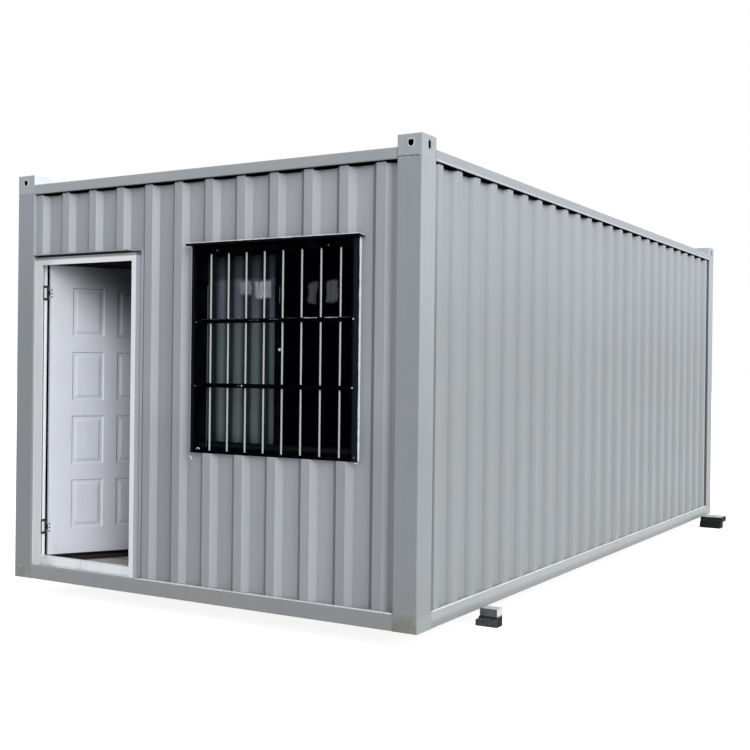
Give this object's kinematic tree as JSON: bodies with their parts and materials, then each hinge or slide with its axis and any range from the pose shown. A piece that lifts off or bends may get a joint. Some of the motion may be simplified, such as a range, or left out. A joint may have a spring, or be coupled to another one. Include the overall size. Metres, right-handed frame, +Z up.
{
  "type": "container office cabin",
  "caption": "Steel container office cabin with corner castings, corrugated walls, an open panelled door and a barred sliding window in its front end.",
  "frame": {"origin": "centre of the overall bounding box on the ground, under the middle of the cabin", "axes": "+X to the right seen from the front, +Y back along the cabin's length, +Z up"},
  "size_m": [3.314, 6.068, 2.696],
  "materials": {
    "frame_paint": "satin paint",
    "roof_rail_paint": "satin paint",
    "wall_paint": "satin paint",
    "front_paint": "satin paint",
    "roof_paint": "satin paint",
    "floor_steel": "satin paint",
    "deck_board": "plywood",
    "floor_vinyl": "worn vinyl",
    "lining_board": "prefinished white sheet",
    "door_frame_paint": "satin paint",
    "door_paint": "satin paint",
    "hinge_steel": "zinc plated",
    "handle_steel": "satin",
    "black_steel": "satin paint",
    "bar_paint": "satin paint",
    "window_profile": "dark anodised",
    "window_glass": "clear, tinted",
    "upper_block": "rough",
    "lower_block": "rough, dark"
  },
  "bodies": {
    "cabin": {"lower_support_blocks": "lower_block", "upper_support_blocks": "upper_block", "bottom_corner_blocks": "frame_paint", "end_base_rails": "frame_paint", "side_base_rails": "frame_paint", "floor_cross_members": "floor_steel", "floor_deck": "deck_board", "floor_covering": "floor_vinyl", "front_posts": "frame_paint", "rear_posts": "frame_paint", "front_left_casting": "frame_paint", "front_right_casting": "frame_paint", "rear_left_casting": "frame_paint", "rear_right_casting": "frame_paint", "end_roof_rails": "roof_rail_paint", "side_roof_rails": "roof_rail_paint", "roof_sheet": "roof_paint", "ceiling": "lining_board", "right_wall_sheet": "wall_paint", "left_wall_sheet": "wall_paint", "rear_wall_sheet": "front_paint", "front_sheet_over_door": "front_paint", "front_sheet_centre": "front_paint", "front_sheets_at_window": "front_paint", "front_sheet_corner": "front_paint", "right_lining": "lining_board", "left_lining": "lining_board", "rear_lining": "lining_board", "front_lining_over_door": "lining_board", "front_lining_by_hinge": "lining_board", "front_lining_centre": "lining_board", "front_linings_at_window": "lining_board", "front_lining_corner": "lining_board", "door_jambs": "door_frame_paint", "door_head": "door_frame_paint", "door_threshold": "door_frame_paint", "door_rain_cap": "front_paint", "door_frame_hinges": "hinge_steel", "window_casing": "black_steel", "window_frame": "window_profile", "window_sashes": "window_profile", "window_glass": "window_glass", "window_awning": "black_steel", "window_bars": "bar_paint", "window_bar_frame": "black_steel"},
    "door": {"door_leaf": "door_paint", "door_leaf_hinges": "hinge_steel", "door_handle": "handle_steel"}
  },
  "joints": [
    {"name": "door_hinge", "type": "hinge", "parent": "cabin", "child": "door", "pos_m": [-1.2735, -2.9565, 1], "axis": [0, 0, 1], "range_deg": [-59, 31]}
  ]
}
